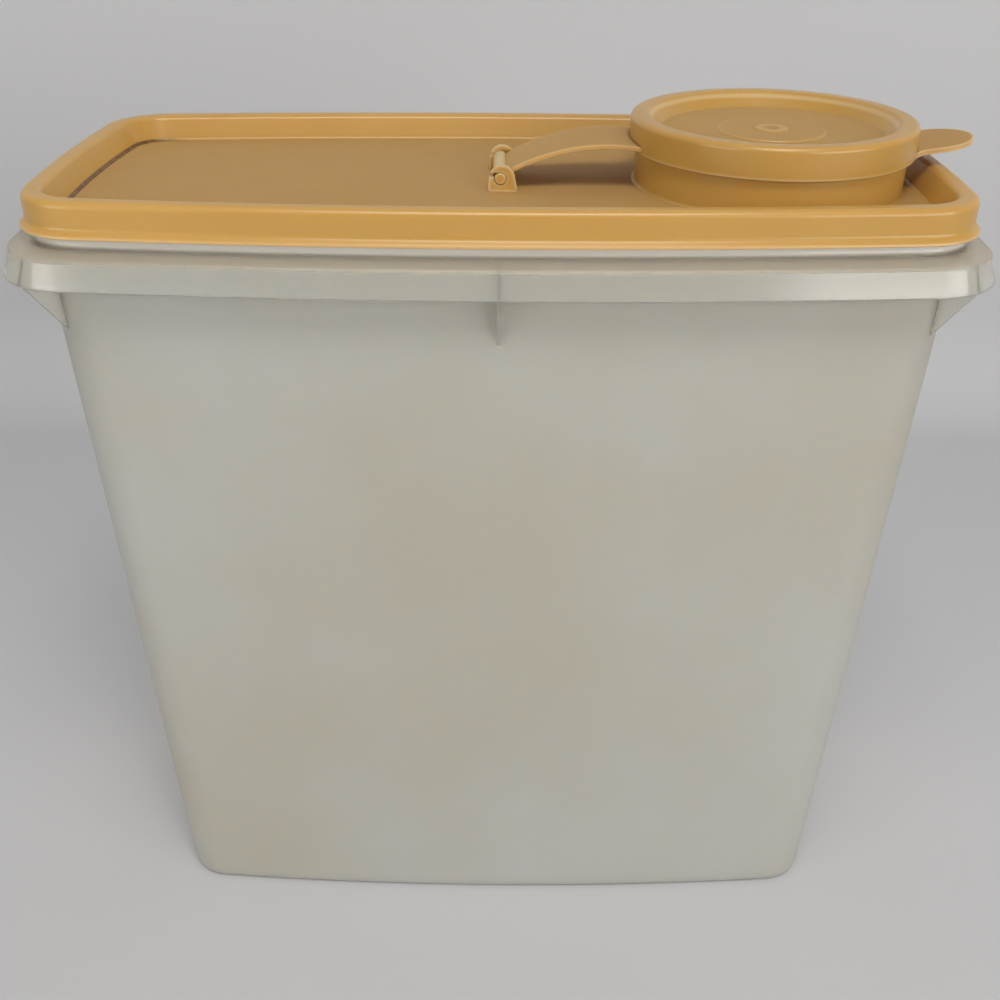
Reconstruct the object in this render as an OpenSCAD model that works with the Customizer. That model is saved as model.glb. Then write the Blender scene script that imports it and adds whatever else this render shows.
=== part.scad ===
// Cereal container with a press-on lid and a flip spout.
// Three mouldings: the tub, the lid with its spout collar and hinge ears, and the cap with
// its strap, hinge barrel and pull tab. X runs along the lid towards the spout, Y across it,
// Z up. The origin is the middle of the underside of the tub.

/* [Overall] */
// Height of the tub's rim above its underside
rim_height = 237.9; // [150:0.1:320]
// Length of the lid between the middles of its ends, over the skirt
lid_length = 239.4; // [160:0.1:320]
// Width of the lid where its long sides meet its ends, over the skirt
lid_width = 97.5; // [70:0.5:140]
// How far the middle of each long side bows out
side_bow = 6.2; // [1:0.1:12]
// How far the middle of each end bows out
end_bow = 2.4; // [0.5:0.1:6]
// Plan radius of the lid's outer corners
lid_corner_radius = 17; // [10:0.5:30]

/* [Tub] */
// Length of the tub at its underside
base_length = 215.5; // [140:1:300]
// Width of the tub at its underside, at the ends
base_width = 77; // [50:1:130]
// Bow of the long sides at the underside
base_bow = 4.8; // [1:0.1:10]
// Bow of the ends at the underside
base_end_bow = 2; // [0.5:0.1:6]
// Plan radius of the tub's corners at the underside
base_corner_radius = 14; // [6:0.5:30]
// Roundness of the edge between the sides and the underside
base_edge_radius = 3; // [1:0.1:6]
// Thickness of the tub's sides
wall = 1.8; // [1:0.1:3]
// Thickness of the tub's floor
floor_thickness = 2; // [1.2:0.1:4]
// Thickness of the upright rim that the lid grips
rim_thickness = 1.8; // [1.2:0.1:3]
// Height of the rim above the ledge that the lid stops over
rim_rise = 7.9; // [7.9:0.05:12]
// How far the apron's lower edge stands out beyond the lid's long sides
apron_reach = 5.4; // [4:0.1:12]
// How much further the apron stands out at the two ends
apron_end_extra = 1.5; // [0:0.1:4]
// Height of the apron from the ledge to its lower edge
apron_height = 11; // [8:0.05:20]
// Thickness of the apron
apron_thickness = 1.4; // [0.8:0.1:2.5]
// How far the stiffening fins run down below the apron
fin_drop = 16; // [6:0.5:30]
// Thickness of the stiffening fins
fin_thickness = 1.1; // [0.8:0.1:2]

/* [Lid] */
// Gap between the tub's rim and the lid's skirt
lid_clearance = 0.35; // [0.1:0.05:0.8]
// Thickness of the lid's skirt and rim
lid_wall = 1.4; // [1:0.1:2.5]
// Height of the lid's skirt
skirt_height = 8.8; // [7:0.1:14]
// How far the bead along the foot of the skirt stands out
bead_out = 1.4; // [0.5:0.1:2.5]
// Height of the bead
bead_height = 2; // [1.2:0.1:3]
// Width of the rim on top of the lid
rim_land = 4.8; // [4.6:0.1:8]
// How far the flat panel lies below the rim
panel_drop = 6.9; // [4:0.1:10]
// Thickness of the flat panel
panel_thickness = 1.5; // [1:0.1:3]
// Run of the sloping wall between the rim and the panel
panel_slope = 2.6; // [1.5:0.1:6]

/* [Spout] */
// Distance from the hinge line to the middle of the spout
spout_offset = 73.2; // [60:0.1:80]
// Outer radius of the spout collar
collar_radius = 36.2; // [20:0.1:40]
// Thickness of the spout collar
collar_wall = 1.5; // [1:0.1:3]
// How much narrower the collar is at its lip
collar_lip_taper = 0.6; // [0.5:0.05:1.2]

/* [Cap] */
// Outer radius of the cap
cap_radius = 38.1; // [22:0.1:42]
// Gap under the cap's skirt, measured from the panel
cap_lift = 9.7; // [8:0.1:14]
// Height of the cap's skirt
cap_height = 8.2; // [6:0.1:12]
// Thickness of the cap's skirt
cap_wall = 1.4; // [1:0.1:2]
// Depth of the cap's dished top
dish_depth = 4.2; // [2:0.1:5]
// Radius of the cap's dished top at its floor
dish_radius = 29.4; // [15:0.1:34]
// Thickness of the cap's floor
dish_thickness = 1.3; // [1:0.1:2]
// Radius of the round step on the cap's floor
step_radius = 14.4; // [6:0.1:20]
// Radius of the small boss in the middle of the cap
boss_radius = 4.1; // [2:0.1:6]
// Gap between the cap's underside and the collar's lip
cap_seat_gap = 0.3; // [0.1:0.05:0.6]

/* [Hinge] */
// Height of the hinge line above the panel
hinge_rise = 3.2; // [2.6:0.1:6]
// Radius of the hinge pins
pin_radius = 1.6; // [1:0.05:2.5]
// Radial gap between a pin and its ear
pin_clearance = 0.1; // [0.02:0.01:0.3]
// Radius of the hinge barrel between the ears
barrel_radius = 2.1; // [1.6:0.1:3]
// Distance between the outer faces of the two ears
ear_spread = 24.8; // [14:0.1:34]
// Thickness of an ear
ear_thickness = 1.8; // [1.2:0.1:3]
// Gap between the barrel and the inner face of an ear
ear_side_gap = 0.35; // [0.1:0.05:0.8]
// Height of the ears above the panel
ear_height = 6.4; // [5:0.1:10]
// Width of an ear at the panel
ear_foot = 8.1; // [6:0.1:12]
// How far the arch of an ear stands towards the spout from the hinge line
ear_lean = 0.45; // [0:0.05:1]
// Width of the slot through which a pin is pressed into its ear
snap_slot = 1.1; // [0.6:0.1:2]
// Height of the bead round the edge of an ear
ear_bead = 0.45; // [0.2:0.05:1]

/* [Strap and tab] */
// Width of the strap beside the ears
strap_width_hinge = 22; // [12:0.5:30]
// Width of the strap where it joins the cap
strap_width_cap = 27.4; // [16:0.5:36]
// Thickness of the strap
strap_thickness = 1.2; // [0.8:0.1:2.5]
// Radius of the strap's arch, seen from the side
strap_arch = 55; // [40:1:90]
// Distance from the hinge line to the crest of the arch
strap_crest_x = 29; // [20:0.1:34]
// Height of the crest above the hinge line
strap_crest_rise = 8.5; // [6:0.1:9]
// Half the width of the pull tab
tab_radius = 10.4; // [6:0.1:14]
// How far the pull tab reaches beyond the cap's skirt
tab_reach = 16.4; // [10:0.1:22]
// Thickness of the pull tab
tab_thickness = 1.3; // [0.8:0.1:2]
// Upward slant of the pull tab in degrees
tab_tilt = 8; // [0:1:20]
// Radius of the blend on each side of the tab's root
tab_blend = 5; // [2:0.5:8]

/* [Hidden] */
lid_top = rim_height + lid_wall + 0.1;
skirt_foot = lid_top - skirt_height;
ledge_top = rim_height - rim_rise;
apron_foot = ledge_top - apron_height;
panel_top = lid_top - panel_drop;
rim_face = lid_wall + lid_clearance;
rim_back = rim_face + rim_thickness;
slope_start = rim_land + 0.3;
slope_end = slope_start + panel_slope;
body_top_inset = rim_face + 0.35;
fin_root = apron_reach + body_top_inset;
hinge_x = 0;
hinge_z = panel_top + hinge_rise;
spout_x = hinge_x + spout_offset;
cap_foot = panel_top + cap_lift;
cap_top = cap_foot + cap_height;
collar_lip = cap_top - cap_wall - cap_seat_gap;
skirt_bore = cap_radius - cap_wall;
dish_floor = cap_top - dish_depth;
barrel_length = ear_spread - 2 * ear_thickness - 2 * ear_side_gap;
side_steps = 7;
corner_steps = 8;
end_steps = 2;
lid_colour = [0.80, 0.60, 0.31];
tub_colour = [0.80, 0.79, 0.72, 0.55];
pre = 0.01;

// Where two circles meet, on the side of positive X and Y.
function meet(ax, ay, ra, bx, by, rb) =
  let (
    d = norm([bx - ax, by - ay]),
    a = (ra * ra - rb * rb + d * d) / (2 * d),
    h = sqrt(ra * ra - a * a),
    ex = (bx - ax) / d,
    ey = (by - ay) / d,
    one = [ax + a * ex - h * ey, ay + a * ey + h * ex],
    two = [ax + a * ex + h * ey, ay + a * ey - h * ex]
  )
  one[0] > 0 && one[1] > 0 ? one : two;

// Radii of the arcs that make a bowed long side and a bowed end.
function side_arc(l, bow) = (l * l / 4 + bow * bow) / (2 * bow);
function end_arc(w, cap) = (w * w / 4 + cap * cap) / (2 * cap);

// The middle of the corner's arc, which is tangent to a long side and to an end.
function corner_middle(l, w, r, bow, cap) =
  meet(0, w / 2 + bow - side_arc(l, bow), side_arc(l, bow) - r, l / 2 - end_arc(w, cap), 0, end_arc(w, cap) - r);

// A quarter of the plan outline: half a bowed long side, a round corner and half a bowed end.
function quarter(l, w, r, bow, cap) =
  let (
    big = side_arc(l, bow),
    cy = w / 2 + bow - big,
    end = end_arc(w, cap),
    cx = l / 2 - end,
    c = corner_middle(l, w, r, bow, cap),
    t1 = atan2(c[0], c[1] - cy),
    t2 = atan2(c[0] - cx, c[1])
  )
  concat(
    [for (i = [0 : side_steps]) let (a = t1 * i / side_steps) [big * sin(a), cy + big * cos(a)]],
    [for (i = [1 : corner_steps]) let (a = t1 + (t2 - t1) * i / corner_steps) [c[0] + r * sin(a), c[1] + r * cos(a)]],
    [for (i = [1 : end_steps]) let (a = t2 + (90 - t2) * i / end_steps) [cx + end * sin(a), end * cos(a)]]
  );

// The whole outline at one height, from four mirrored quarters.
function ring(l, w, r, bow, cap, z) =
  let (q = quarter(l, w, r, bow, cap), n = len(q) - 1)
  concat(
    [for (i = [0 : n]) [q[i][0], q[i][1], z]],
    [for (i = [1 : n]) [q[n - i][0], -q[n - i][1], z]],
    [for (i = [1 : n]) [-q[i][0], -q[i][1], z]],
    [for (i = [1 : n - 1]) [-q[n - i][0], q[n - i][1], z]]
  );

// An outline that follows the lid's, moved out by a distance.
function lid_ring(out, z) =
  ring(lid_length + 2 * out, lid_width + 2 * out, lid_corner_radius + out, side_bow, end_bow, z);

// The apron's outline, which stands further out at the ends, with tighter corners.
function apron_ring(out, z) =
  ring(
    lid_length + 2 * (out + apron_end_extra),
    lid_width + 2 * out,
    lid_corner_radius + out - 2,
    side_bow,
    end_bow,
    z
  );

// An outline of the tub's tapered body, moved in by a distance.
// The four values run straight from the underside to the ledge.
function mixed(a, b, z) = a + (b - a) * z / ledge_top;
function body_ring(inset, z) =
  ring(
    mixed(base_length, lid_length - 2 * body_top_inset, z) - 2 * inset,
    mixed(base_width, lid_width - 2 * body_top_inset, z) - 2 * inset,
    mixed(base_corner_radius, lid_corner_radius - body_top_inset + 1.5, z) - inset,
    mixed(base_bow, side_bow, z),
    mixed(base_end_bow, end_bow, z),
    z
  );

// A closed skin through a list of rings, with a flat face on the first and the last.
module skin(rings) {
  n = len(rings[0]);
  m = len(rings);
  points = [for (k = [0 : m - 1]) for (i = [0 : n - 1]) rings[k][i]];
  low = [for (k = [0 : m - 2]) for (i = [0 : n - 1]) [k * n + i, k * n + (i + 1) % n, (k + 1) * n + i]];
  high = [for (k = [0 : m - 2]) for (i = [0 : n - 1])
    [k * n + (i + 1) % n, (k + 1) * n + (i + 1) % n, (k + 1) * n + i]];
  first = [[for (i = [0 : n - 1]) n - 1 - i]];
  last = [[for (i = [0 : n - 1]) (m - 1) * n + i]];
  polyhedron(points = points, faces = concat(low, high, first, last), convexity = 8);
}

// The tub in one skin: underside, side, apron, ledge, rim and the inside.
module tub_shell() {
  e = base_edge_radius;
  skin([
    body_ring(e, 0),
    body_ring(e * 0.5, e * 0.134),
    body_ring(e * 0.134, e * 0.5),
    body_ring(0, e),
    body_ring(0, ledge_top - 3.6),
    lid_ring(-body_top_inset + 0.3, ledge_top - 2.4),
    lid_ring(-body_top_inset + 1.2, ledge_top - 1.9),
    apron_ring(apron_reach - apron_thickness - 3.2, ledge_top - 1.9),
    apron_ring(apron_reach - apron_thickness - 2.8, ledge_top - 2.5),
    apron_ring(apron_reach - apron_thickness, apron_foot + 0.5),
    apron_ring(apron_reach - apron_thickness + 0.3, apron_foot),
    apron_ring(apron_reach - 0.4, apron_foot),
    apron_ring(apron_reach, apron_foot + 0.5),
    apron_ring(apron_reach - 3, ledge_top - 1.9),
    apron_ring(apron_reach - 3.4, ledge_top - 0.8),
    apron_ring(apron_reach - 4, ledge_top - 0.15),
    apron_ring(apron_reach - 4.8, ledge_top),
    lid_ring(-rim_face, ledge_top),
    lid_ring(-rim_face, rim_height - 0.7),
    lid_ring(-rim_face - 0.4, rim_height),
    lid_ring(-rim_back + 0.4, rim_height),
    lid_ring(-rim_back, rim_height - 0.5),
    lid_ring(-rim_back, ledge_top - 1),
    body_ring(wall, ledge_top - 3.6),
    body_ring(wall, floor_thickness + 2.6),
    body_ring(wall + 0.7, floor_thickness + 0.8),
    body_ring(wall + 2.4, floor_thickness)
  ]);
}

// One fin: a thin web from the side of the tub to the apron's lower edge.
// It is drawn in the plane that runs outwards from the point where it is placed.
module fin(root, edge) {
  rotate([90, 0, 0])
    translate([0, 0, -fin_thickness / 2])
      linear_extrude(fin_thickness)
        polygon([
          [root - 4, apron_foot - fin_drop],
          [root, apron_foot - fin_drop],
          [edge, apron_foot + 0.1],
          [edge - 2.8, ledge_top - 2.2],
          [root - 4, ledge_top - 2.2]
        ]);
}

// Four fins on the corners and one in the middle of each long side.
module tub_fins() {
  r = lid_corner_radius + apron_reach - 2;
  long = lid_length + 2 * (apron_reach + apron_end_extra);
  middle = corner_middle(long, lid_width + 2 * apron_reach, r, side_bow, end_bow);
  for (sx = [-1, 1]) {
    for (sy = [-1, 1]) {
      translate([sx * middle[0], sy * middle[1], 0])
        rotate([0, 0, atan2(1.3 * sy, sx)])
          fin(r - fin_root - 4.5, r - 0.9);
    }
  }
  for (s = [-1, 1]) {
    translate([0, s * lid_width / 2, 0])
      rotate([0, 0, s * 90])
        fin(side_bow - body_top_inset - 1.4, side_bow + apron_reach - 0.7);
  }
}

// The inside of the tub out to the middle of its wall. The fins are cut back to it.
module tub_core() {
  skin([
    body_ring(wall / 2, apron_foot - fin_drop - 4),
    body_ring(wall / 2, ledge_top - 3.6),
    lid_ring(-rim_face - rim_thickness / 2, ledge_top - 1)
  ]);
}

module container() {
  color(tub_colour) {
    union() {
      tub_shell();
      difference() {
        tub_fins();
        tub_core();
      }
    }
  }
}

// The lid's skirt, rim, sloping wall and panel in one skin.
module lid_shell() {
  skin([
    lid_ring(-slope_end + 0.6, panel_top - panel_thickness),
    lid_ring(-slope_end + 1.3, panel_top - panel_thickness + 0.4),
    lid_ring(-rim_back - 0.35, rim_height),
    lid_ring(-lid_wall, rim_height),
    lid_ring(-lid_wall, skirt_foot),
    lid_ring(bead_out - 0.5, skirt_foot),
    lid_ring(bead_out, skirt_foot + 0.5),
    lid_ring(bead_out, skirt_foot + bead_height - 0.6),
    lid_ring(bead_out - 0.5, skirt_foot + bead_height - 0.1),
    lid_ring(0.1, skirt_foot + bead_height + 0.3),
    lid_ring(0, lid_top - 2.2),
    lid_ring(-0.2, lid_top - 1.2),
    lid_ring(-0.8, lid_top - 0.45),
    lid_ring(-1.9, lid_top),
    lid_ring(-rim_land + 0.9, lid_top),
    lid_ring(-rim_land + 0.15, lid_top - 0.35),
    lid_ring(-slope_start, lid_top - 1.1),
    lid_ring(-slope_end + 0.5, panel_top + 0.4),
    lid_ring(-slope_end, panel_top)
  ]);
}

// The round collar that food pours through.
module collar() {
  translate([spout_x, 0, 0])
    rotate_extrude($fn = 128)
      polygon([
        [collar_radius - collar_wall, panel_top - panel_thickness],
        [collar_radius, panel_top - panel_thickness],
        [collar_radius, cap_foot - 0.6],
        [collar_radius - collar_lip_taper, collar_lip - 0.5],
        [collar_radius - collar_lip_taper - 0.4, collar_lip],
        [collar_radius - collar_wall - 0.1, collar_lip],
        [collar_radius - collar_wall - 0.1, collar_lip - 4],
        [collar_radius - collar_wall, collar_lip - 6]
      ]);
}

// The arched side view of an ear, with a flared foot, drawn inwards by a distance.
module ear_shape(inset) {
  top = ear_height - hinge_rise - inset;
  left = ear_foot / 2 - 0.75 - inset;
  right = ear_foot / 2 + 0.75 - inset;
  union() {
    translate([ear_lean, 0])
      circle(r = top, $fn = 48);
    polygon([
      [ear_lean - top, 0],
      [ear_lean - top - 0.1, -hinge_rise * 0.5],
      [-left, -hinge_rise - 0.3],
      [right, -hinge_rise - 0.3],
      [ear_lean + top + 0.35, -hinge_rise * 0.5],
      [ear_lean + top, 0]
    ]);
  }
}

// One ear with its bore and snap-in slot. The outer face has a bead round its edge.
// The slot opens away from the spout. The side is 1 for the far ear, -1 for the near one.
module ear(side) {
  outer = ear_spread / 2;
  difference() {
    translate([hinge_x, side * outer, hinge_z])
      rotate([90, 0, 0])
        translate([0, 0, side > 0 ? 0 : -ear_thickness])
          difference() {
            linear_extrude(ear_thickness)
              ear_shape(0);
            translate([0, 0, side > 0 ? -pre : ear_thickness - ear_bead])
              linear_extrude(ear_bead + pre)
                ear_shape(0.75);
          }
    translate([hinge_x, side * (outer + 1), hinge_z])
      rotate([side * 90, 0, 0])
        cylinder(h = ear_thickness + 2, r = pin_radius + pin_clearance, $fn = 64);
    translate([hinge_x - ear_foot, side * outer - ear_thickness - 1, hinge_z + 0.55])
      cube([ear_foot, 2 * ear_thickness + 2, snap_slot]);
  }
}

module lid() {
  color(lid_colour) {
    difference() {
      union() {
        lid_shell();
        collar();
        ear(1);
        ear(-1);
      }
      translate([spout_x, 0, panel_top - panel_thickness - 1])
        cylinder(h = panel_thickness + 2, r = collar_radius - collar_wall, $fn = 128);
    }
  }
}

// The cap's skirt and dished top.
module cap_shell() {
  outer = cap_radius;
  lip = skirt_bore - 3;
  translate([spout_x, 0, 0])
    rotate_extrude($fn = 128)
      polygon([
        [0, dish_floor - dish_thickness],
        [dish_radius + 1, dish_floor - dish_thickness],
        [lip - 0.5, cap_top - cap_wall],
        [skirt_bore, cap_top - cap_wall],
        [skirt_bore, cap_foot],
        [outer - 0.2, cap_foot],
        [outer, cap_foot + 0.25],
        [outer, cap_top - 1.4],
        [outer - 0.3, cap_top - 0.6],
        [outer - 0.9, cap_top - 0.15],
        [outer - 1.6, cap_top],
        [lip + 0.4, cap_top],
        [lip - 0.4, cap_top - 0.2],
        [lip - 0.9, cap_top - 0.8],
        [dish_radius + 0.3, dish_floor + 0.3],
        [dish_radius - 0.4, dish_floor],
        [step_radius + 0.3, dish_floor],
        [step_radius, dish_floor + 0.45],
        [boss_radius + 0.25, dish_floor + 0.45],
        [boss_radius, dish_floor + 0.9],
        [boss_radius * 0.6, dish_floor + 0.9],
        [boss_radius * 0.3, dish_floor + 0.5],
        [0, dish_floor + 0.4]
      ]);
}

// The hinge barrel with a pin on each end.
module barrel() {
  translate([hinge_x, barrel_length / 2, hinge_z])
    rotate([90, 0, 0])
      cylinder(h = barrel_length, r = barrel_radius, $fn = 64);
  translate([hinge_x, ear_spread / 2 - 0.35, hinge_z])
    rotate([90, 0, 0])
      cylinder(h = ear_spread - 0.7, r = pin_radius, $fn = 64);
  for (s = [-1, 1]) {
    translate([hinge_x, s * (ear_spread / 2 - 0.35), hinge_z])
      rotate([-s * 90, 0, 0])
        cylinder(h = 0.35, r1 = pin_radius, r2 = pin_radius - 0.4, $fn = 64);
  }
}

// The strap seen from above: narrow between the ears, wider beside them, widest at the cap.
module strap_plan() {
  inner = barrel_length / 2;
  near = strap_width_hinge / 2;
  far = strap_width_cap / 2;
  clear = ear_foot / 2 + 2;
  start = spout_offset - cap_radius;
  translate([hinge_x, 0])
    polygon([
      [0, -inner],
      [clear, -inner],
      [clear + 1.2, -near],
      [start * 0.55, -near - (far - near) * 0.3],
      [start * 0.85, -near - (far - near) * 0.7],
      [start + 4, -far],
      [start + 6.5, -far],
      [start + 6.5, far],
      [start + 4, far],
      [start * 0.85, near + (far - near) * 0.7],
      [start * 0.55, near + (far - near) * 0.3],
      [clear + 1.2, near],
      [clear, inner],
      [0, inner]
    ]);
}

// The arched strap, cut from a shell of a large cylinder.
module strap() {
  intersection() {
    difference() {
      translate([hinge_x + strap_crest_x, 20, hinge_z + strap_crest_rise - strap_arch])
        rotate([90, 0, 0])
          cylinder(h = 40, r = strap_arch, $fn = 360);
      translate([hinge_x + strap_crest_x, 21, hinge_z + strap_crest_rise - strap_arch])
        rotate([90, 0, 0])
          cylinder(h = 42, r = strap_arch - strap_thickness, $fn = 360);
    }
    translate([0, 0, hinge_z - 1.2])
      linear_extrude(16)
        strap_plan();
  }
}

// The rounded pull tab seen from above, measured from the middle of the cap.
// Each blend is tangent to the cap's skirt and to the tab's side.
module tab_plan() {
  tip = cap_radius + tab_reach - tab_radius;
  reach = cap_radius + tab_blend;
  across = tab_radius + tab_blend;
  along = sqrt(reach * reach - across * across);
  k = (cap_radius - 0.4) / reach;
  translate([tip, 0])
    circle(r = tab_radius, $fn = 96);
  translate([cap_radius * 0.8, -tab_radius])
    square([tip - cap_radius * 0.8, 2 * tab_radius]);
  for (s = [-1, 1]) {
    difference() {
      polygon([
        [along * 0.8, 0],
        [along * k, s * across * k],
        [along, s * across],
        [along, 0]
      ]);
      translate([along, s * across])
        circle(r = tab_blend, $fn = 64);
    }
  }
}

// The pull tab slants up from the foot of the skirt.
module tab() {
  translate([spout_x + cap_radius, 0, cap_foot + 0.1])
    rotate([0, -tab_tilt, 0])
      translate([-cap_radius, 0, 0])
        linear_extrude(tab_thickness)
          tab_plan();
}

module flip_cap() {
  color(lid_colour) {
    union() {
      cap_shell();
      barrel();
      difference() {
        union() {
          strap();
          tab();
        }
        translate([spout_x, 0, cap_foot - 5])
          cylinder(h = 30, r = skirt_bore, $fn = 128);
      }
    }
  }
}

container();
lid();
flip_cap();
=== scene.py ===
import math

import bmesh
import bpy
from mathutils import Matrix, Vector


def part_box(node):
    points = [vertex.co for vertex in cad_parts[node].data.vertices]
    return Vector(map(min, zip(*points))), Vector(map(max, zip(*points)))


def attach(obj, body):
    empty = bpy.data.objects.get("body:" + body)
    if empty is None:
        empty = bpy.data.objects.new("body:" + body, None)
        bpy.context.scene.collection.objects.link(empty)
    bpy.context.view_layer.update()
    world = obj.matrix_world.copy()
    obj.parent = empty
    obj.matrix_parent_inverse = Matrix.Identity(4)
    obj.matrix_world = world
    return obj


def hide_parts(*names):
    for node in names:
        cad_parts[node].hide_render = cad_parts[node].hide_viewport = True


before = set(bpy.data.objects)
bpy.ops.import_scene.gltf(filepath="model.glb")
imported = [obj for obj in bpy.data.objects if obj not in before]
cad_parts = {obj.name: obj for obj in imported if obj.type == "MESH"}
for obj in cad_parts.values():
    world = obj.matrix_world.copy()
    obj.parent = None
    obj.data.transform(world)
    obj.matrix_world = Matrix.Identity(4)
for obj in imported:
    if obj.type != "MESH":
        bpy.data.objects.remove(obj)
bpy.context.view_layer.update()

# The tub. One injection moulding of milky natural polyethylene: a flat underside, tall sides that
# bow outwards and widen towards the top, an upright rim that the lid grips, and below the rim a
# sloping shoulder that turns down into an apron. Sizes are in metres, in the part's own frame.
lid_length = 0.2394
lid_width = 0.0975
corner = 0.017
side_bow = 0.0062
end_bow = 0.0024
rim_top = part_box("container")[1].z
rim_foot = rim_top - 0.0098
apron_foot = rim_top - 0.0189
shoulder = apron_foot + 0.0071
shoulder_wall = 0.0019
apron_reach = 0.0054
apron_flare = 0.0021
apron_end_extra = 0.0015
apron_wall = 0.0014
web_drop = 0.0017
rim_gap = 0.00175
rim_wall = 0.0018
body_inset = rim_gap + 0.00035
wall = 0.0018
floor = 0.002
base_length = 0.2155
base_width = 0.077
base_bow = 0.0048
base_end_bow = 0.002
base_corner = 0.014
foot_round = 0.003
inside_round = 0.0026
edge_round = 0.0006
apron_foot_round = 0.0005
side_steps = 18
corner_steps = 12
end_steps = 8


def points(geom):
    """The vertices among what a bmesh operator gives back."""
    return [g for g in geom if isinstance(g, bmesh.types.BMVert)]


def soften(bm, edges, radius, segments):
    """Rounds edges."""
    bmesh.ops.bevel(
        bm, geom=edges, offset=radius, offset_type="OFFSET", segments=segments,
        profile=0.5, affect="EDGES", material=-1, clamp_overlap=True,
    )


def arc_radius(chord, bow):
    """Radius of the arc that rises by bow over a chord."""
    return (chord * chord / 4 + bow * bow) / (2 * bow)


def outline(bm, length, width, radius, bow, cap, z):
    """A closed loop of edges: bowed long sides, bowed ends, and corners tangent to both."""
    side, end = arc_radius(length, bow), arc_radius(width, cap)
    side_mid = Vector((0, width / 2 + bow - side, z))
    end_mid = Vector((length / 2 - end, 0, z))
    reach = end_mid - side_mid
    gap = reach.length
    a, b = side - radius, end - radius
    along = (a * a - b * b + gap * gap) / (2 * gap)
    across = math.sqrt(a * a - along * along)
    reach.normalize()
    corner_mid = side_mid + reach * along + Vector((reach.y, -reach.x, 0)) * across
    to_corner = corner_mid - side_mid
    turn = math.atan2(to_corner.x, to_corner.y)
    to_end = corner_mid - end_mid
    last = math.atan2(to_end.x, to_end.y)
    start = bmesh.ops.create_vert(bm, co=(0, width / 2 + bow, z))["vert"]
    made = set(start)
    arcs = (
        (side_mid, turn, side_steps),
        (corner_mid, last - turn, corner_steps),
        (end_mid, math.pi / 2 - last, end_steps),
    )
    for middle, angle, steps in arcs:
        old = set(bm.verts)
        spun = bmesh.ops.spin(
            bm, geom=start, cent=middle, axis=(0, 0, -1), angle=angle, steps=steps
        )
        start = points(spun["geom_last"])
        made |= set(bm.verts) - old
    for axis in "XY":
        edges = {e for v in made for e in v.link_edges}
        old = set(bm.verts)
        bmesh.ops.mirror(bm, geom=list(made) + list(edges), merge_dist=1e-6, axis=axis)
        made = {v for v in made if v.is_valid} | (set(bm.verts) - old)
    return list({e for v in made for e in v.link_edges})


def lid_outline(bm, out, z):
    """The lid's outline, moved outwards."""
    return outline(
        bm, lid_length + 2 * out, lid_width + 2 * out, corner + out, side_bow, end_bow, z
    )


def apron_outline(bm, out, z):
    """The apron's outline, a little longer than the lid's and moved outwards."""
    length = lid_length + 2 * (out + apron_end_extra)
    return outline(
        bm, length, lid_width + 2 * out, corner + out - 0.002, side_bow, end_bow, z
    )


def body_outline(bm, inset, z):
    """The outline of the tub's sides at a height, moved inwards."""
    def mix(a, b):
        return a + (b - a) * z / rim_foot

    return outline(
        bm,
        mix(base_length, lid_length - 2 * body_inset) - 2 * inset,
        mix(base_width, lid_width - 2 * body_inset) - 2 * inset,
        mix(base_corner, corner - body_inset + 0.0015) - inset,
        mix(base_bow, side_bow),
        mix(base_end_bow, end_bow),
        z,
    )


def lift(bm, loop, height):
    """Moves a loop of edges up."""
    verts = list({v for e in loop for v in e.verts})
    bmesh.ops.translate(bm, verts=verts, vec=(0, 0, height))


def skin(bm, stations):
    """Joins outlines in order, closes both ends and rounds each outline that has a radius."""
    # While they are joined, the outlines stand a metre apart, as level ones would be twisted.
    loops = [make(bm, size, z) for make, size, z, _ in stations]
    for level, loop in enumerate(loops):
        lift(bm, loop, level)
    for lower, upper in zip(loops, loops[1:]):
        bmesh.ops.bridge_loops(bm, edges=lower + upper)
    for level, loop in enumerate(loops):
        lift(bm, loop, -level)
    for loop in (loops[0], loops[-1]):
        bmesh.ops.contextual_create(bm, geom=loop)
    for radius in sorted({r for *_, r in stations if r}):
        ring = [e for loop, s in zip(loops, stations) if s[3] == radius for e in loop]
        soften(bm, ring, radius, 4)
    bmesh.ops.recalc_face_normals(bm, faces=bm.faces[:])


def finish_mesh(bm, name, sharp=40):
    """Turns a bmesh into a smooth-shaded object that keeps its hard edges."""
    mesh = bpy.data.meshes.new(name)
    bm.to_mesh(mesh)
    bm.free()
    piece = bpy.data.objects.new(name, mesh)
    bpy.context.scene.collection.objects.link(piece)
    mesh.shade_smooth()
    mesh.set_sharp_from_angle(angle=math.radians(sharp))
    return piece


def combine(piece, tool, how):
    """Unites a piece with a tool, or cuts the tool out of it, and throws the tool away."""
    step = piece.modifiers.new(how.lower(), "BOOLEAN")
    step.operation, step.object, step.solver = how, tool, "MANIFOLD"
    graph = bpy.context.evaluated_depsgraph_get()
    mesh = bpy.data.meshes.new_from_object(piece.evaluated_get(graph))
    mesh.materials.clear()
    piece.modifiers.clear()
    old, piece.data = piece.data, mesh
    mesh.name = piece.name
    bpy.data.meshes.remove(old)
    bpy.data.objects.remove(tool)
    mesh.shade_smooth()
    mesh.set_sharp_from_angle(angle=math.radians(40))


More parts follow.
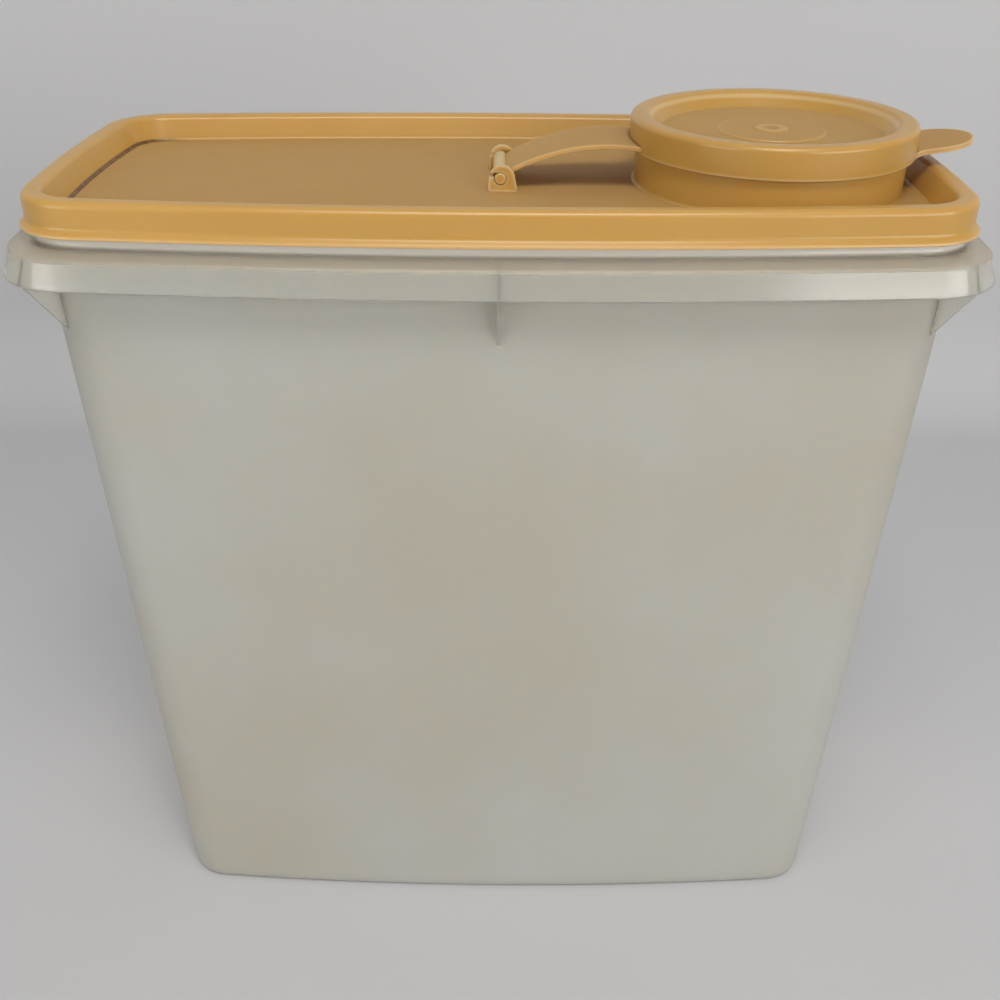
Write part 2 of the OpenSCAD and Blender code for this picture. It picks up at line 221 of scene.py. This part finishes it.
bm = bmesh.new()
skin(
    bm,
    [
        (body_outline, 0, 0, foot_round),
        (body_outline, 0, rim_foot - shoulder_wall - web_drop, 0),
        (lid_outline, -body_inset + 0.0003, rim_foot - shoulder_wall - 0.0005, 0),
        (lid_outline, -body_inset + 0.0012, rim_foot - shoulder_wall, 0),
        (apron_outline, apron_reach - apron_wall - 0.0025, shoulder - 0.0008, 0),
        (apron_outline, apron_reach - apron_wall - 0.0019, shoulder - 0.0016, 0),
        (apron_outline, apron_reach - apron_wall, apron_foot, 0.0003),
        (apron_outline, apron_reach, apron_foot, apron_foot_round),
        (apron_outline, apron_reach - apron_flare, shoulder, edge_round),
        (lid_outline, -rim_gap, rim_foot, 0.0009),
        (lid_outline, -rim_gap, rim_top, edge_round),
        (lid_outline, -rim_gap - rim_wall, rim_top, edge_round),
        (lid_outline, -rim_gap - rim_wall, rim_foot + 0.0009, 0),
        (body_outline, wall, rim_foot - web_drop, 0),
        (body_outline, wall, floor, inside_round),
    ],
)
tub = finish_mesh(bm, "tub")

# The fins. Thin webs of the same moulding that stiffen the apron, one on each corner and one in
# the middle of each long side. Each runs from the wall out to the apron's lower edge.
fin_drop = 0.016
fin_wall = 0.0011
fin_lean = math.atan2(1.3, 1)
fin_corner = Vector((0.10513, 0.03561, 0))
corner_fin = (0.0078, 0.0094, 0.0195)
side_fin = (0.0022, 0.0033, 0.0109)


def fin(place, turn, wall_low, wall_high, edge):
    """One fin, from its foot and top on the tub's wall out to the apron's edge."""
    bm = bmesh.new()
    corners = (
        (wall_low, apron_foot - fin_drop),
        (edge, apron_foot + 0.0001),
        (edge - apron_flare - 0.0001, shoulder - edge_round),
        (wall_high, shoulder),
    )
    verts = [bm.verts.new((x, -fin_wall / 2, z)) for x, z in corners]
    face = bm.faces.new(verts)
    pushed = bmesh.ops.extrude_face_region(bm, geom=[face])
    bmesh.ops.translate(bm, verts=points(pushed["geom"]), vec=(0, fin_wall, 0))
    bmesh.ops.recalc_face_normals(bm, faces=bm.faces[:])
    bm.transform(Matrix.Translation(place) @ Matrix.Rotation(turn, 4, "Z"))
    return finish_mesh(bm, "fin")


for sx in (-1, 1):
    for sy in (-1, 1):
        place = Vector((sx * fin_corner.x, sy * fin_corner.y, 0))
        turn = math.atan2(sy * math.sin(fin_lean), sx * math.cos(fin_lean))
        combine(tub, fin(place, turn, *corner_fin), "UNION")
for sy in (-1, 1):
    place = Vector((0, sy * lid_width / 2, 0))
    combine(tub, fin(place, sy * math.pi / 2, *side_fin), "UNION")


def even_shading(piece):
    """Keeps the flat walls flat in the light, so that only the rounded edges turn it."""
    step = piece.modifiers.new("even_shading", "WEIGHTED_NORMAL")
    step.weight, step.keep_sharp = 100, True


even_shading(tub)


def add(tree, kind, settings=None, **inputs):
    """Adds a shader node. Each input takes a value or another node's output."""
    made = tree.nodes.new("ShaderNode" + kind)
    for key, value in (settings or {}).items():
        setattr(made, key, value)
    for key, value in inputs.items():
        socket = made.inputs[key.replace("_", " ")]
        if isinstance(value, bpy.types.NodeSocket):
            tree.links.new(value, socket)
        else:
            socket.default_value = value
    return made


def blend(tree, share, first, second):
    """Mixes two colours, each a value or a node's output, by a share."""
    made = add(tree, "Mix", {"data_type": "RGBA"})
    sockets = made.inputs[0], made.inputs[6], made.inputs[7]
    for socket, value in zip(sockets, (share, first, second)):
        if isinstance(value, bpy.types.NodeSocket):
            tree.links.new(value, socket)
        else:
            socket.default_value = value
    return made.outputs[2]


def ramp(tree, value, start, end, first=0, last=1, kind="LINEAR"):
    """Goes from first to last while a node's output goes from start to end."""
    made = add(
        tree, "MapRange", {"interpolation_type": kind}, Value=value,
        From_Min=start, From_Max=end, To_Min=first, To_Max=last,
    )
    return made.outputs["Result"]


def reckon(tree, operation, first, *others):
    """Adds up or multiplies nodes' outputs."""
    for other in others:
        made = add(tree, "Math", {"operation": operation})
        tree.links.new(first, made.inputs[0])
        tree.links.new(other, made.inputs[1])
        first = made.outputs[0]
    return first


def milky(name, roughness, clear, dark, light):
    """Milky polyethylene. Light soaks in, and below the rim a share of it passes through."""
    material = bpy.data.materials.new(name)
    material.use_nodes = True
    tree = material.node_tree
    shader = tree.nodes["Principled BSDF"]
    place = add(tree, "TexCoord").outputs["Object"]
    height = add(tree, "SeparateXYZ", Vector=place).outputs["Z"]
    cloud = add(tree, "TexNoise", Vector=place, Scale=9, Detail=4, Roughness=0.6)
    colour = blend(tree, ramp(tree, cloud.outputs["Fac"], 0.35, 0.65), dark, light)

    # A few dark specks.
    speck = add(tree, "TexVoronoi", Vector=place, Scale=55)
    small = ramp(tree, speck.outputs["Distance"], 0.035, 0.045, 1, 0)
    rare = ramp(tree, speck.outputs["Color"], 0.86, 0.87)
    colour = blend(tree, reckon(tree, "MULTIPLY", rare, small), colour, (0.25, 0.23, 0.19, 1))

    # A brownish band painted on the shoulder just below the rim: painted shade under the lid,
    # tinted by the lid's painted ochre light.
    low = ramp(tree, height, rim_foot - 0.0001, rim_foot - 0.0009, 0, 0.75, "SMOOTHSTEP")
    high = ramp(tree, height, shoulder - 0.0009, shoulder - 0.0005)
    lid_shade_band = reckon(tree, "MULTIPLY", low, high)
    colour = blend(tree, lid_shade_band, colour, (0.85, 0.75, 0.61, 1))
    tree.links.new(colour, shader.inputs["Base Color"])

    # Scuffs, and a moulded skin that is matt on that painted band.
    scuff = add(tree, "TexNoise", Vector=place, Scale=14, Detail=2)
    polish = ramp(tree, scuff.outputs["Fac"], 0.2, 0.8, roughness - 0.02, roughness + 0.03)
    rough = reckon(tree, "ADD", polish, ramp(tree, lid_shade_band, 0, 1, 0, 0.4))
    tree.links.new(rough, shader.inputs["Roughness"])
    grain = add(tree, "TexNoise", Vector=place, Scale=1400, Detail=2)
    bump = add(tree, "Bump", Height=grain.outputs["Fac"], Strength=0.08, Distance=0.0001)
    tree.links.new(bump.outputs["Normal"], shader.inputs["Normal"])

    shader.inputs["IOR"].default_value = 1.51
    shader.inputs["Subsurface Weight"].default_value = 0.6
    shader.inputs["Subsurface Radius"].default_value = (1, 0.85, 0.6)
    shader.inputs["Subsurface Scale"].default_value = 0.004
    passing = ramp(tree, height, rim_foot - 0.0004, rim_foot + 0.0004, clear, 0.05, "SMOOTHSTEP")
    tree.links.new(passing, shader.inputs["Transmission Weight"])
    return material


tub.data.materials.append(
    milky(
        "matte_milky_polyethylene", 0.42, 0.45, (0.73, 0.695, 0.59, 1), (0.77, 0.765, 0.715, 1)
    )
)
tub.data.materials.append(
    milky(
        "polished_milky_polyethylene", 0.12, 0.7, (0.86, 0.83, 0.73, 1), (0.88, 0.87, 0.80, 1)
    )
)
for face in tub.data.polygons:
    face.material_index = int(face.center.z > apron_foot - fin_drop)
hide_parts("container")
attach(tub, "container")

# The lid. A press-on lid of ochre polyethylene: a skirt with a bead along its foot, a rounded rim,
# and inside it a sunken flat panel. The spout's collar and the hinge's ears are part of it.
lid_top = rim_top + 0.0015
skirt_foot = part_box("lid")[0].z
lid_wall = 0.0014
bead_out = 0.0014
bead_height = 0.002
panel_top = lid_top - 0.0069
panel_wall = 0.0015
slope_start = 0.0051
slope_end = slope_start + 0.0026

bm = bmesh.new()
skin(
    bm,
    [
        (lid_outline, -slope_end + 0.0008, panel_top - panel_wall, 0.0005),
        (lid_outline, -rim_gap - rim_wall - 0.00035, rim_top, 0.0003),
        (lid_outline, -lid_wall, rim_top, 0.0003),
        (lid_outline, -lid_wall, skirt_foot, 0.0003),
        (lid_outline, bead_out, skirt_foot, 0.0005),
        (lid_outline, bead_out, skirt_foot + 0.0007, 0.0005),
        (lid_outline, 0, skirt_foot + bead_height, 0.0007),
        (lid_outline, 0, lid_top, 0.0018),
        (lid_outline, -0.0047, lid_top, 0.0012),
        (lid_outline, -slope_end + 0.0002, panel_top, 0.0008),
    ],
)
lid = finish_mesh(bm, "lid_moulding")

# The spout's collar. A round upright wall that food pours through, with a rounded lip and a small
# fillet where it grows out of the panel. The panel is open inside it.
spout_x = 0.0732
collar_radius = 0.0362
collar_bore = collar_radius - 0.0015
cap_foot = panel_top + 0.0097
cap_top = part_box("flip_cap")[1].z
collar_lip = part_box("lid")[1].z
round_steps = 160


def turned(name, profile, x):
    """A closed profile of (radius, height) points, turned once round an upright axis at x."""
    bm = bmesh.new()
    verts = [bm.verts.new((x + r, 0, z)) for r, z in profile]
    edges = [bm.edges.new(pair) for pair in zip(verts, verts[1:] + verts[:1])]
    bmesh.ops.spin(
        bm, geom=verts + edges, cent=(x, 0, 0), axis=(0, 0, 1),
        angle=math.tau, steps=round_steps, use_merge=True,
    )
    bmesh.ops.remove_doubles(bm, verts=bm.verts[:], dist=1e-6)
    flat = [e for e in bm.edges if not e.link_faces]
    bmesh.ops.delete(bm, geom=flat, context="EDGES")
    bmesh.ops.recalc_face_normals(bm, faces=bm.faces[:])
    return finish_mesh(bm, name)


collar = turned(
    "collar",
    [
        (0, panel_top - 0.0007),
        (collar_radius + 0.0008, panel_top - 0.0007),
        (collar_radius + 0.0008, panel_top + 0.00005),
        (collar_radius + 0.0003, panel_top + 0.0003),
        (collar_radius, panel_top + 0.0008),
        (collar_radius, cap_foot - 0.0006),
        (collar_radius - 0.0006, collar_lip - 0.0005),
        (collar_radius - 0.00075, collar_lip - 0.0002),
        (collar_radius - 0.0010, collar_lip),
        (0, collar_lip),
    ],
    spout_x,
)
combine(lid, collar, "UNION")
bore = turned(
    "bore",
    [
        (0, panel_top - 0.004),
        (collar_bore, panel_top - 0.004),
        (collar_bore, collar_lip - 0.006),
        (collar_bore - 0.0001, collar_lip - 0.004),
        (collar_bore - 0.0001, collar_lip - 0.0003),
        (collar_bore + 0.0002, collar_lip),
        (collar_bore + 0.0002, collar_lip + 0.002),
        (0, collar_lip + 0.002),
    ],
    spout_x,
)
combine(lid, bore, "DIFFERENCE")

# The hinge's ears. Two arched plates on the panel with flared feet and a raised bead round the
# outer face. Each has a bore for the pin and a slot on its left side to press the pin in.
hinge_z = panel_top + 0.0032
ear_face = 0.0124
ear_wall = 0.0018
ear_arch = 0.0035
ear_lean = 0.00045
ear_bead = 0.0009
ear_recess = 0.0006
pin_radius = 0.0016
pin_bore = 0.0017
pin_slot_width = 0.0011


def ear(side):
    """One ear, at the near end (-1) or the far end (1) of the barrel."""
    bm = bmesh.new()
    top = bmesh.ops.create_vert(bm, co=(ear_lean - ear_arch, 0, hinge_z))["vert"]
    left = bm.verts.new((-0.0033, 0, panel_top - 0.0003))
    left_foot = bm.verts.new((ear_lean - ear_arch - 0.0001, 0, hinge_z - 0.0016))
    spun = bmesh.ops.spin(
        bm, geom=top, cent=(ear_lean, 0, hinge_z), axis=(0, 1, 0), angle=math.pi, steps=32
    )
    end = points(spun["geom_last"])[0]
    right_foot = bm.verts.new((ear_lean + ear_arch + 0.00035, 0, hinge_z - 0.0016))
    right = bm.verts.new((0.0048, 0, panel_top - 0.0003))
    foot = (end, right_foot, right, left, left_foot, top[0])
    for pair in zip(foot, foot[1:]):
        bm.edges.new(pair)
    plate = bmesh.ops.contextual_create(bm, geom=bm.edges[:])["faces"]
    pushed = bmesh.ops.extrude_face_region(bm, geom=plate)
    bmesh.ops.translate(bm, verts=points(pushed["geom"]), vec=(0, ear_wall, 0))
    outer = [g for g in pushed["geom"] if isinstance(g, bmesh.types.BMFace)]
    bmesh.ops.inset_region(bm, faces=outer, thickness=ear_bead, use_even_offset=True)
    sunk = list({v for f in outer for v in f.verts})
    bmesh.ops.translate(bm, verts=sunk, vec=(0, -ear_recess, 0))
    bmesh.ops.recalc_face_normals(bm, faces=bm.faces[:])
    rim = [
        e for e in bm.edges
        if all(v.co.z > panel_top + 0.0001 for v in e.verts) and e.calc_face_angle(0) > 0.8
    ]
    soften(bm, rim, 0.00035, 3)
    bmesh.ops.translate(bm, verts=bm.verts[:], vec=(0, ear_face - ear_wall, 0))
    if side < 0:
        bmesh.ops.scale(bm, verts=bm.verts[:], vec=(1, -1, 1))
        bmesh.ops.reverse_faces(bm, faces=bm.faces[:])
    return finish_mesh(bm, "ear")


def pin_hole():
    """The bores of both ears, as one rod to cut with."""
    bm = bmesh.new()
    bmesh.ops.create_cone(
        bm, cap_ends=True, segments=48, radius1=pin_bore, radius2=pin_bore, depth=0.04
    )
    bm.transform(Matrix.Translation((0, 0, hinge_z)) @ Matrix.Rotation(math.pi / 2, 4, "X"))
    return finish_mesh(bm, "pin_hole")


def pin_slot():
    """The slots of both ears, as one bar to cut with."""
    bm = bmesh.new()
    bmesh.ops.create_cube(bm, size=1)
    bmesh.ops.scale(bm, verts=bm.verts[:], vec=(0.008, 0.04, pin_slot_width))
    bmesh.ops.translate(bm, verts=bm.verts[:], vec=(-0.004, 0, hinge_z + 0.0011))
    return finish_mesh(bm, "pin_slot")


ears = ear(1)
combine(ears, ear(-1), "UNION")
combine(ears, pin_hole(), "DIFFERENCE")
combine(ears, pin_slot(), "DIFFERENCE")
combine(lid, ears, "UNION")


def ochre(name, level_height, dark, light):
    """Ochre polyethylene with a satin skin, darker, greyer and matt on the level face at
    level_height.
    """
    material = bpy.data.materials.new(name)
    material.use_nodes = True
    tree = material.node_tree
    shader = tree.nodes["Principled BSDF"]
    place = add(tree, "TexCoord").outputs["Object"]
    x, y, z = add(tree, "SeparateXYZ", Vector=place).outputs
    cloud = add(tree, "TexNoise", Vector=place, Scale=16, Detail=2)
    colour = blend(tree, ramp(tree, cloud.outputs["Fac"], 0.35, 0.65), dark, light)

    # The level face is darker, greyer and matt.
    level = ramp(tree, z, level_height + 0.0004, level_height + 0.001, 1, 0, "SMOOTHSTEP")
    facing = add(tree, "SeparateXYZ", Vector=add(tree, "NewGeometry").outputs["Normal"])
    level_face = reckon(tree, "MULTIPLY", level, ramp(tree, facing.outputs["Z"], 0.75, 1))
    smear = add(tree, "TexNoise", Vector=place, Scale=45, Detail=6, Roughness=0.65)
    level_colour = blend(tree, smear.outputs["Fac"], (0.42, 0.238, 0.07, 1), (0.49, 0.29, 0.095, 1))
    colour = blend(tree, level_face, colour, level_colour)

    # Thin edges are painted pale: rubbed wear and a painted highlight.
    thin = add(tree, "AmbientOcclusion", {"samples": 6, "inside": True}, Distance=0.0009)
    rubbed_and_highlit = ramp(tree, thin.outputs["AO"], 0.6, 0.95, 0.85, 0)
    colour = blend(tree, rubbed_and_highlit, colour, (0.68, 0.50, 0.27, 1))
    # Creases are painted dark: painted shade.
    crease = add(tree, "AmbientOcclusion", {"samples": 8}, Distance=0.0022)
    painted_crease_shade = ramp(tree, crease.outputs["AO"], 0.42, 0.62, 0.75, 0)
    colour = blend(tree, painted_crease_shade, colour, (0.13, 0.06, 0.015, 1))

    # A dark, broken line lies along the foot of the lid's inner slope, at the end away from the
    # spout.
    seam_breaks = add(tree, "TexNoise", Vector=place, Scale=520, Detail=3, Roughness=0.6)
    dark_seam = reckon(
        tree, "MULTIPLY",
        ramp(tree, z, level_height + 0.001, level_height + 0.0006, kind="SMOOTHSTEP"),
        ramp(tree, z, level_height + 0.00001, level_height + 0.00006),
        ramp(tree, x, -0.095, -0.105, kind="SMOOTHSTEP"),
        ramp(tree, x, -0.1135, -0.113),
        ramp(tree, y, -0.046, -0.0455),
        ramp(tree, y, 0.045, 0.04),
        ramp(tree, seam_breaks.outputs["Fac"], 0.38, 0.52, 0.7, 1),
    )
    colour = blend(tree, dark_seam, colour, (0.14, 0.06, 0.012, 1))
    tree.links.new(colour, shader.inputs["Base Color"])

    polish = ramp(tree, cloud.outputs["Fac"], 0.2, 0.8, 0.27, 0.32)
    rough = reckon(tree, "ADD", polish, ramp(tree, level_face, 0, 1, 0, 0.45))
    tree.links.new(rough, shader.inputs["Roughness"])
    grain = add(tree, "TexNoise", Vector=place, Scale=1100, Detail=2)
    bump = add(tree, "Bump", Height=grain.outputs["Fac"], Strength=0.1, Distance=0.0001)
    tree.links.new(bump.outputs["Normal"], shader.inputs["Normal"])
    shader.inputs["IOR"].default_value = 1.51
    shader.inputs["Subsurface Weight"].default_value = 0.6
    shader.inputs["Subsurface Radius"].default_value = (1, 0.5, 0.15)
    shader.inputs["Subsurface Scale"].default_value = 0.002
    return material


even_shading(lid)
lid.data.materials.append(
    ochre("ochre_polyethylene_lid", panel_top, (0.55, 0.32, 0.075, 1), (0.59, 0.35, 0.088, 1))
)
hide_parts("lid")
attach(lid, "lid")

# The flip cap. The same ochre polyethylene in one moulding: a round cap with a dished floor, an
# arched strap that ends in the hinge's barrel and pins, and a pull tab on the other side.
cap_radius = 0.0381
cap_wall = 0.0014
skirt_bore = cap_radius - cap_wall
dish_floor = cap_top - 0.0042
dish_radius = 0.0294
dish_wall = 0.0013
dish_lip = skirt_bore - 0.003
step_radius = 0.0144
boss_radius = 0.0041

cap = turned(
    "flip_cap_moulding",
    [
        (0, cap_foot),
        (cap_radius - 0.0003, cap_foot),
        (cap_radius - 0.00008, cap_foot + 0.0001),
        (cap_radius, cap_foot + 0.0003),
        (cap_radius, cap_top - 0.0015),
        (cap_radius - 0.00015, cap_top - 0.0009),
        (cap_radius - 0.0005, cap_top - 0.0004),
        (cap_radius - 0.001, cap_top - 0.0001),
        (cap_radius - 0.0016, cap_top),
        (dish_lip + 0.0006, cap_top),
        (dish_lip, cap_top - 0.0001),
        (dish_lip - 0.0005, cap_top - 0.0004),
        (dish_lip - 0.0009, cap_top - 0.0009),
        (dish_radius + 0.0008, dish_floor + 0.0007),
        (dish_radius + 0.0004, dish_floor + 0.0002),
        (dish_radius - 0.0003, dish_floor),
        (step_radius + 0.0005, dish_floor),
        (step_radius + 0.0002, dish_floor + 0.0001),
        (step_radius, dish_floor + 0.00042),
        (step_radius - 0.0003, dish_floor + 0.0005),
        (boss_radius + 0.0004, dish_floor + 0.0005),
        (boss_radius + 0.0002, dish_floor + 0.0008),
        (boss_radius - 0.0002, dish_floor + 0.00095),
        (boss_radius * 0.62, dish_floor + 0.0009),
        (boss_radius * 0.35, dish_floor + 0.0005),
        (0, dish_floor + 0.0004),
    ],
    spout_x,
)

# The strap. A thin arched band of the cap's own moulding, from the cap's foot to the barrel. It
# narrows where it passes between the ears.
strap_wall = 0.0012
strap_arch = 0.055
strap_crest = Vector((0.029, 0, hinge_z + 0.009))
strap_hinge_half = 0.0107
strap_cap_half = 0.012
barrel_half = 0.01025
barrel_radius = 0.0021
ear_clear = 0.00605
strap_step = 0.0012
strap_run = 0.031

bm = bmesh.new()
first, last = -0.5449, 0.215
middle = strap_crest - Vector((0, 0, strap_arch))
low = Matrix.Rotation(first, 3, "Y") @ Vector((0, 0, strap_arch)) + middle
ends = [bm.verts.new((low.x, y, low.z)) for y in (-1, -0.5, 0, 0.5, 1)]
rows = [bm.edges.new(pair) for pair in zip(ends, ends[1:])]
bmesh.ops.spin(
    bm, geom=ends + rows, cent=middle, axis=(0, 1, 0), angle=last - first, steps=60
)


def strap_half(x):
    """Half the strap's width at a distance from the hinge."""
    beyond = x - ear_clear
    if beyond < strap_step:
        return barrel_half + (strap_hinge_half - barrel_half) * max(0, beyond / strap_step)
    along = min(1, (beyond - strap_step) / strap_run)
    return strap_hinge_half + (strap_cap_half - strap_hinge_half) * along


for v in bm.verts:
    v.co.y *= strap_half(v.co.x)
bmesh.ops.recalc_face_normals(bm, faces=bm.faces[:])
bmesh.ops.solidify(bm, geom=bm.faces[:], thickness=strap_wall)
bmesh.ops.recalc_face_normals(bm, faces=bm.faces[:])
edges = [e for e in bm.edges if e.calc_face_angle(0) > 1.0]
soften(bm, edges, 0.00025, 2)
strap = finish_mesh(bm, "strap")

# The barrel and its pins. A solid round bar across the strap's end, which lies between the ears,
# with a thinner pin on each end that snaps into an ear's bore and turns there.
bm = bmesh.new()
for radius, half in ((barrel_radius, barrel_half), (pin_radius, ear_face - 0.0002)):
    made = bmesh.ops.create_cone(
        bm, cap_ends=True, segments=48, radius1=radius, radius2=radius, depth=2 * half
    )
    if radius == pin_radius:
        edges = {e for v in made["verts"] for e in v.link_edges}
        rims = [e for e in edges if abs(e.verts[0].co.z - e.verts[1].co.z) < 1e-7]
        soften(bm, rims, 0.0005, 4)
bm.transform(Matrix.Translation((0, 0, hinge_z)) @ Matrix.Rotation(math.pi / 2, 4, "X"))
barrel = finish_mesh(bm, "barrel")

# The pull tab. A thin rounded tongue of the cap's moulding that slants up from the skirt's foot
# and widens into the skirt with a small radius on each side.
tab_radius = 0.0104
tab_reach = 0.0164
tab_wall = 0.0013
tab_tilt = math.radians(8)
tab_blend = 0.005

bm = bmesh.new()
tip = cap_radius + tab_reach - tab_radius
reach = cap_radius + tab_blend
across = tab_radius + tab_blend
along = math.sqrt(reach * reach - across * across)
start = bmesh.ops.create_vert(bm, co=(tip + tab_radius, 0, 0))["vert"]
root = bm.verts.new((cap_radius - 0.003, 0, 0))
spun = bmesh.ops.spin(
    bm, geom=start, cent=(tip, 0, 0), axis=(0, 0, 1), angle=math.pi / 2, steps=24
)
side = points(spun["geom_last"])[0]
bend = bm.verts.new((along, tab_radius, 0))
bm.edges.new((side, bend))
turn = math.atan2(along, across)
spun = bmesh.ops.spin(
    bm, geom=[bend], cent=(along, across, 0), axis=(0, 0, -1), angle=turn, steps=12
)
inner = points(spun["geom_last"])[0]
deep = bm.verts.new((inner.co.x - 0.002, inner.co.y, 0))
back = bm.verts.new((cap_radius - 0.003, inner.co.y, 0))
for pair in ((inner, deep), (deep, back), (back, root)):
    bm.edges.new(pair)
bmesh.ops.mirror(bm, geom=bm.verts[:] + bm.edges[:], merge_dist=1e-6, axis="Y")
plate = bmesh.ops.contextual_create(bm, geom=bm.edges[:])["faces"]
pushed = bmesh.ops.extrude_face_region(bm, geom=plate)
bmesh.ops.translate(bm, verts=points(pushed["geom"]), vec=(0, 0, tab_wall))
bmesh.ops.recalc_face_normals(bm, faces=bm.faces[:])
edges = [e for e in bm.edges if e.calc_face_angle(0) > 1.0 and e.verts[0].co.x > cap_radius]
soften(bm, edges, 0.0004, 3)
hang = Matrix.Translation((spout_x + cap_radius, 0, cap_foot + 0.0001))
bm.transform(hang @ Matrix.Rotation(-tab_tilt, 4, "Y") @ Matrix.Translation((-cap_radius, 0, 0)))
tab = finish_mesh(bm, "tab")

combine(cap, strap, "UNION")
combine(cap, tab, "UNION")
hollow = turned(
    "hollow",
    [
        (0, cap_foot - 0.006),
        (skirt_bore, cap_foot - 0.006),
        (skirt_bore, cap_top - cap_wall),
        (dish_lip - 0.0005, cap_top - cap_wall),
        (dish_radius + 0.001, dish_floor - dish_wall),
        (0, dish_floor - dish_wall),
    ],
    spout_x,
)
combine(cap, hollow, "DIFFERENCE")
combine(cap, barrel, "UNION")
even_shading(cap)
# The cap's ochre is the lid's, darkened as painted shade for the smaller amount of light that
# reaches the cap.
cap.data.materials.append(
    ochre("ochre_polyethylene_cap", dish_floor, (0.52, 0.30, 0.068, 1), (0.56, 0.33, 0.08, 1))
)
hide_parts("flip_cap")
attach(cap, "flip_cap")

# The studio. One sheet of pale paper, which isn't part of the object: a floor that sweeps up into
# a wall behind it.
bm = bmesh.new()
floor_wide, floor_front, wall_back, wall_high, sweep = 3.0, -2.0, 0.36, 2.0, 0.06
bed = [bm.verts.new((x, floor_front, 0)) for x in (-floor_wide, floor_wide)]
strip = bm.edges.new(bed)


def pull(edge, vec):
    """Draws an edge out into a face and gives its new far edge."""
    pushed = bmesh.ops.extrude_edge_only(bm, edges=[edge])["geom"]
    moved = points(pushed)
    bmesh.ops.translate(bm, verts=moved, vec=vec)
    edges = [g for g in pushed if isinstance(g, bmesh.types.BMEdge)]
    return [e for e in edges if set(e.verts) == set(moved)][0]


strip = pull(strip, (0, wall_back - sweep - floor_front, 0))
spun = bmesh.ops.spin(
    bm, geom=list(strip.verts) + [strip], cent=(0, wall_back - sweep, sweep), axis=(1, 0, 0),
    angle=math.pi / 2, steps=16,
)
strip = [g for g in spun["geom_last"] if isinstance(g, bmesh.types.BMEdge)][0]
pull(strip, (0, 0, wall_high))
bmesh.ops.recalc_face_normals(bm, faces=bm.faces[:])
bmesh.ops.reverse_faces(bm, faces=bm.faces[:])
backdrop = finish_mesh(bm, "backdrop")
paper = bpy.data.materials.new("pale_paper")
paper.use_nodes = True
sheet = paper.node_tree
pulp = sheet.nodes["Principled BSDF"]
pulp.inputs["Base Color"].default_value = (0.58, 0.58, 0.59, 1)
pulp.inputs["Roughness"].default_value = 0.9
# Seen from behind, the paper is clear, so that it doesn't hide the back of the object.
seen = add(sheet, "MixShader", Fac=add(sheet, "NewGeometry").outputs["Backfacing"])
sheet.links.new(pulp.outputs["BSDF"], seen.inputs[1])
sheet.links.new(add(sheet, "BsdfTransparent").outputs["BSDF"], seen.inputs[2])
sheet.links.new(seen.outputs["Shader"], sheet.nodes["Material Output"].inputs["Surface"])
backdrop.data.materials.append(paper)


lit_point = Vector((0, 0, 0.2))


def lamp(name, place, size, power, colour):
    """A soft rectangular lamp that points at the object."""
    data = bpy.data.lights.new(name, "AREA")
    data.shape = "RECTANGLE"
    data.size, data.size_y = size
    data.energy = power
    data.color = colour
    light = bpy.data.objects.new(name, data)
    bpy.context.scene.collection.objects.link(light)
    light.location = place
    light.rotation_euler = (lit_point - Vector(place)).to_track_quat("-Z", "Y").to_euler()


lamp("overhead", (0.05, -0.75, 1.4), (0.7, 0.5), 9.6, (1, 0.98, 0.95))
lamp("window", (1.1, -1.1, 0.56), (1.3, 0.7), 11.5, (1, 0.98, 0.96))
lamp("room", (-1.3, -1.1, 0.55), (1, 0.8), 8, (1, 0.98, 0.95))
world = bpy.data.worlds.new("room_light")
world.use_nodes = True
sky = world.node_tree
upward = add(sky, "SeparateXYZ", Vector=add(sky, "TexCoord").outputs["Generated"]).outputs["Z"]
ceiling = ramp(sky, upward, 0.1, 0.8, 0.05, 0.25)
sky.nodes["Background"].inputs["Color"].default_value = (0.96, 0.98, 1, 1)
sky.links.new(ceiling, sky.nodes["Background"].inputs["Strength"])
bpy.context.scene.world = world
bpy.context.scene.view_settings.view_transform = "Standard"

# The camera stands where the photograph was taken from, slightly above and close to the long side.
lens = bpy.data.cameras.new("camera")
lens.sensor_width = 36
lens.lens = 41.4
camera = bpy.data.objects.new("camera", lens)
bpy.context.scene.collection.objects.link(camera)
camera.location = (0.00073, -0.31946, 0.31569)
camera.rotation_euler = [math.radians(a) for a in (59.823, -0.3695, 0.2473)]
bpy.context.scene.camera = camera
